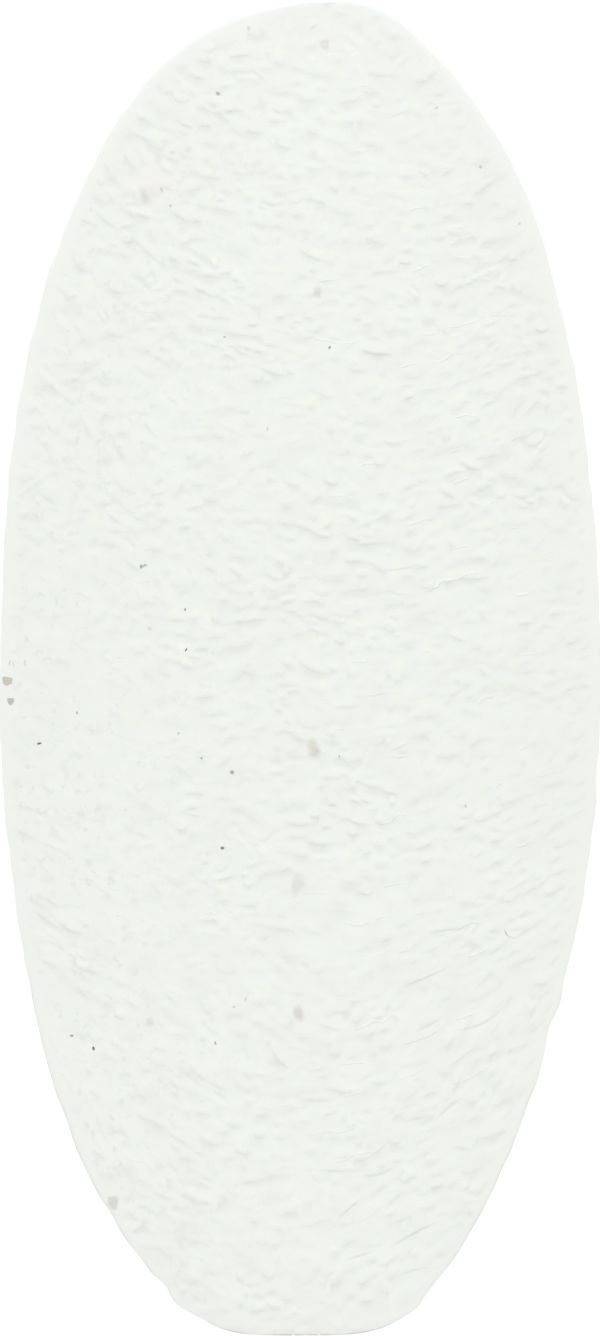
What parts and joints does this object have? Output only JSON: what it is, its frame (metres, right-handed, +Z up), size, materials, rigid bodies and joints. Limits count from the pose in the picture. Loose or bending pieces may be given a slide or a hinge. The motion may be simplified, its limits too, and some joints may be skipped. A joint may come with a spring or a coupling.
{
  "type": "cuttlebone",
  "caption": "Oval chalky cuttlebone lying on its belly, with a low crowned back of fine wavy relief, a thin rounded rim and one end broken off blunt.",
  "frame": {"origin": "on the surface that the shell lies on, under the middle of the outline", "axes": "+Z up out of the rough back, +Y along the length to the whole rear tip, -Y to the broken front edge"},
  "size_m": [0.0629, 0.1399, 0.0157],
  "materials": {
    "chalk": "dry, matte and chalky"
  },
  "bodies": {
    "root": {"cuttlebone": "chalk"}
  },
  "joints": []
}
